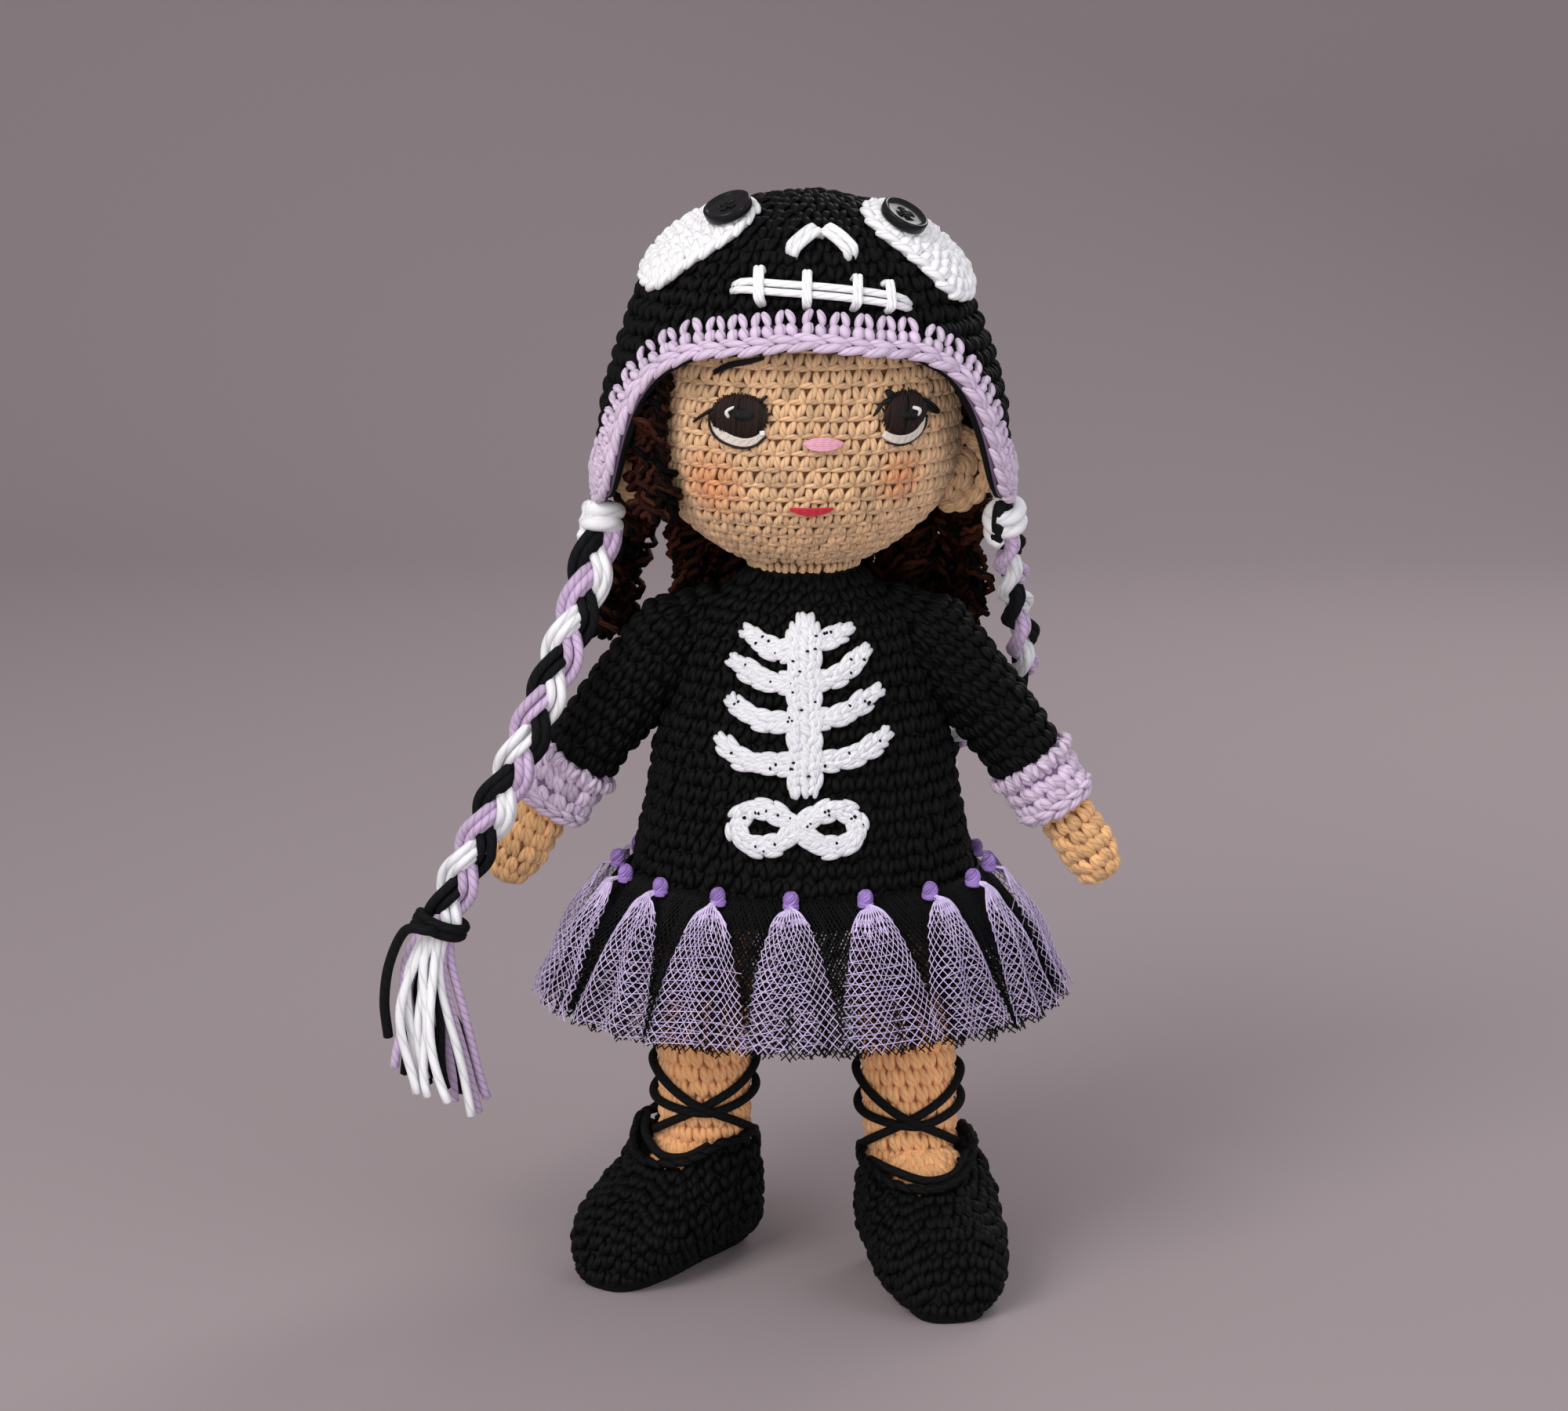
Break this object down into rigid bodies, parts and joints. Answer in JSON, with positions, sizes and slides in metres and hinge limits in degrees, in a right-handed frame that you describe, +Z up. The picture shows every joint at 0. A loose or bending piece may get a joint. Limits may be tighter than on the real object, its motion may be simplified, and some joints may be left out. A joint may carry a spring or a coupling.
{
  "type": "crochet doll",
  "caption": "Standing crochet doll in a sleeved dress with a tulle skirt, slippers with ankle laces, and a lift-off ear-flap hat with hanging braids.",
  "frame": {"origin": "on the floor, under the middle of the doll's box without its braids", "axes": "+Z up, the doll faces -Y, -X is the doll's right-hand side"},
  "size_m": [0.1893, 0.1595, 0.2843],
  "materials": {
    "skin_yarn": "matte tan cotton yarn, single crochet",
    "peach_yarn": "matte peach cotton yarn, single crochet",
    "black_yarn": "matte black cotton yarn, single crochet",
    "lilac_yarn": "matte lilac cotton yarn, single crochet",
    "white_yarn": "soft white cotton yarn, crocheted flat",
    "hair_yarn": "dark red-brown curly yarn",
    "black_cord": "black twisted cotton cord",
    "braid_cord": "white, lilac and black twisted cotton cord",
    "black_tulle": "black open tulle net",
    "lilac_tulle": "lilac open tulle net",
    "brown_thread": "dark brown and cream embroidery thread",
    "pink_thread": "pink embroidery thread",
    "red_thread": "red embroidery thread",
    "button_plastic": "polished black four-hole buttons"
  },
  "bodies": {
    "root": {"torso": "skin_yarn", "dress": "black_yarn", "head": "skin_yarn", "hair_cap": "hair_yarn", "hair_fall": "hair_yarn", "ribcage_patch": "white_yarn", "pelvis_patch": "white_yarn", "tutu_underlayer": "black_tulle", "nose_stitch": "pink_thread", "mouth_stitch": "red_thread", "brow_stitch": "brown_thread", "eye_right": "brown_thread", "eye_left": "brown_thread", "ear_right": "skin_yarn", "ear_left": "skin_yarn", "hair_lock_right": "hair_yarn", "hair_lock_left": "hair_yarn", "tulle_strip_01": "lilac_tulle", "tulle_strip_02": "lilac_tulle", "tulle_strip_03": "lilac_tulle", "tulle_strip_04": "lilac_tulle", "tulle_strip_05": "lilac_tulle", "tulle_strip_06": "lilac_tulle", "tulle_strip_07": "lilac_tulle", "tulle_strip_08": "lilac_tulle", "tulle_strip_09": "lilac_tulle", "tulle_strip_10": "lilac_tulle", "tulle_strip_11": "lilac_tulle", "tulle_strip_12": "lilac_tulle", "tulle_strip_13": "lilac_tulle", "tulle_strip_14": "lilac_tulle", "tulle_strip_15": "lilac_tulle", "tulle_strip_16": "lilac_tulle"},
    "hat": {"hat_crown": "black_yarn", "hat_trim": "lilac_yarn", "hat_nose_stitch": "white_yarn", "hat_mouth_stitch": "white_yarn", "hat_patch_right": "white_yarn", "hat_patch_left": "white_yarn", "button_right": "button_plastic", "button_left": "button_plastic", "braid_right": "braid_cord", "braid_left": "braid_cord", "tie_right": "black_cord", "tie_left": "black_cord", "tassel_right": "braid_cord", "tassel_left": "braid_cord"},
    "arm_right": {"arm_right": "skin_yarn", "sleeve_right": "black_yarn", "cuff_right": "lilac_yarn"},
    "arm_left": {"arm_left": "skin_yarn", "sleeve_left": "black_yarn", "cuff_left": "lilac_yarn"},
    "leg_right": {"leg_right": "peach_yarn", "shoe_right": "black_yarn", "lace_right": "black_cord"},
    "leg_left": {"leg_left": "peach_yarn", "shoe_left": "black_yarn", "lace_left": "black_cord"}
  },
  "joints": [
    {"name": "hat_lift", "type": "slide", "parent": "root", "child": "hat", "axis": [0, 0, 1], "range_m": [0, 0.11]},
    {"name": "shoulder_right", "type": "hinge", "parent": "root", "child": "arm_right", "pos_m": [-0.031, 0, 0.169], "axis": [0, 1, 0], "range_deg": [0, 35]},
    {"name": "shoulder_left", "type": "hinge", "parent": "root", "child": "arm_left", "pos_m": [0.031, 0, 0.169], "axis": [0, -1, 0], "range_deg": [0, 35]},
    {"name": "hip_right", "type": "hinge", "parent": "root", "child": "leg_right", "pos_m": [-0.0262, 0, 0.1], "axis": [-1, 0, 0], "range_deg": [-12, 25]},
    {"name": "hip_left", "type": "hinge", "parent": "root", "child": "leg_left", "pos_m": [0.0262, 0, 0.1], "axis": [-1, 0, 0], "range_deg": [-20, 15]}
  ]
}
